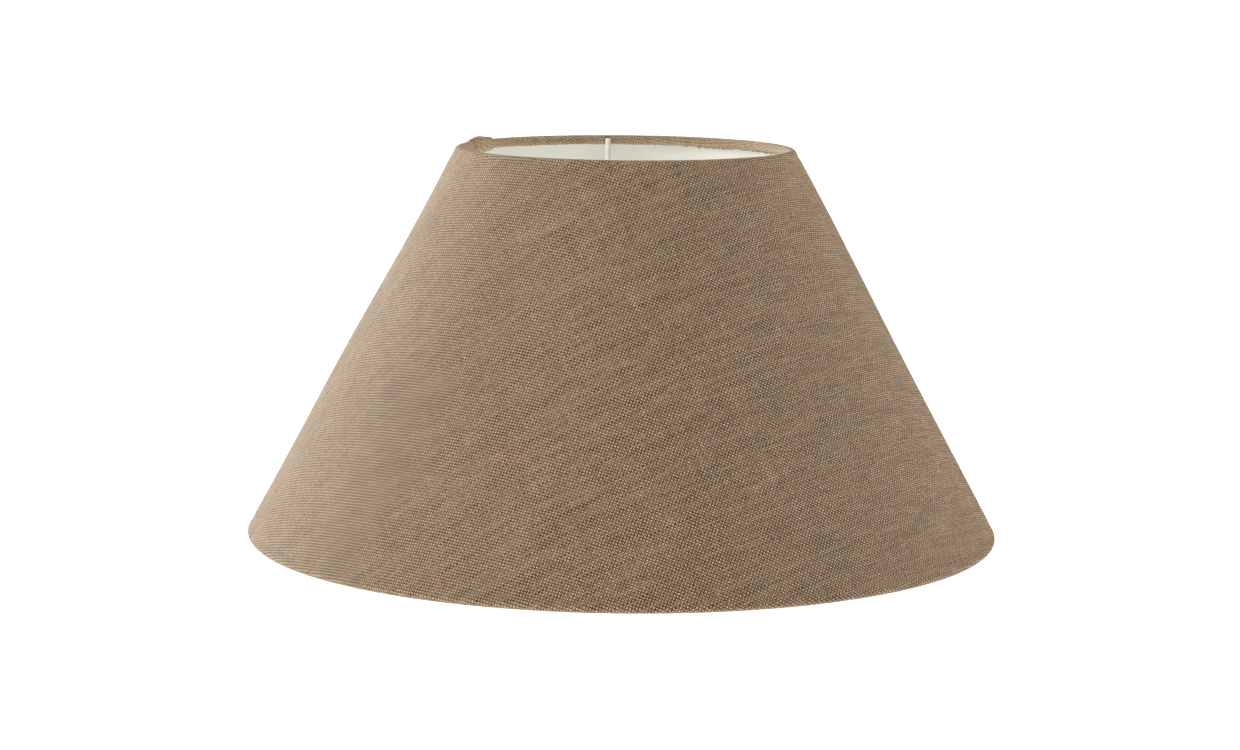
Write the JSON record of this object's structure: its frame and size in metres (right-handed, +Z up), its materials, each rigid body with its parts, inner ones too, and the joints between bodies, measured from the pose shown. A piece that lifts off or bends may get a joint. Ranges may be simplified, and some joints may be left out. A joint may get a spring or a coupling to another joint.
{
  "type": "lamp shade",
  "caption": "Tapered lamp shade of coarse linen on a plastic liner and wire rings, with a recessed wire fitter for a screw lampholder.",
  "frame": {"origin": "centre of the circle that the bottom rim rests on", "axes": "+Z up along the shade's axis, from the wide rim to the narrow one; one arm of the fitter points close to +Y and the lap seam stands at 155 degrees from +X"},
  "size_m": [0.4, 0.4, 0.208],
  "materials": {
    "linen": "matte",
    "liner": "matte",
    "wire": "satin",
    "tape": "satin"
  },
  "bodies": {
    "root": {"cover": "linen", "liner": "liner", "seam_tape": "tape", "top_ring": "wire", "top_ring_tape": "tape", "bottom_ring": "wire", "bottom_ring_tape": "tape", "back_arm": "wire", "left_arm": "wire", "right_arm": "wire", "fitter_ring": "wire"}
  },
  "joints": []
}
